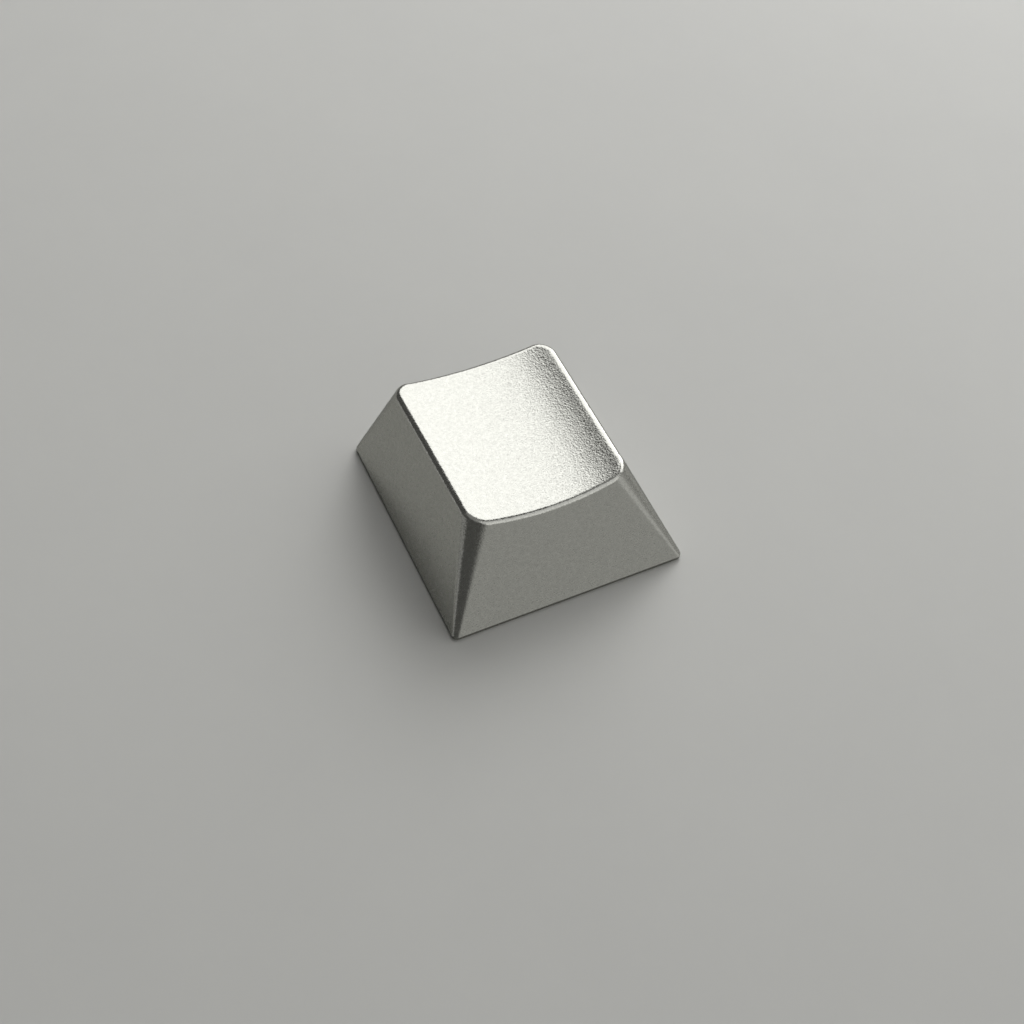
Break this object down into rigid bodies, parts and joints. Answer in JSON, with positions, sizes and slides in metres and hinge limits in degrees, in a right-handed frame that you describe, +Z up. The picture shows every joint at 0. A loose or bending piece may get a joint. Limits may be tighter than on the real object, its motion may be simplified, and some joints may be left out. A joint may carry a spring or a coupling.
{
  "type": "keycap",
  "caption": "Blank metal keycap with a dished, back-set top, drafted walls and a hollow underside whose round stem holds a cross socket.",
  "frame": {"origin": "middle of the rim's lower face, on the surface that the cap stands on", "axes": "+Z up through the dished top, -Y towards the typist, +X to the typist's right"},
  "size_m": [0.0182, 0.0182, 0.0063],
  "materials": {
    "satin_aluminium": "bead-blasted, clear anodised satin silver grey"
  },
  "bodies": {
    "root": {"keycap": "satin_aluminium"}
  },
  "joints": []
}
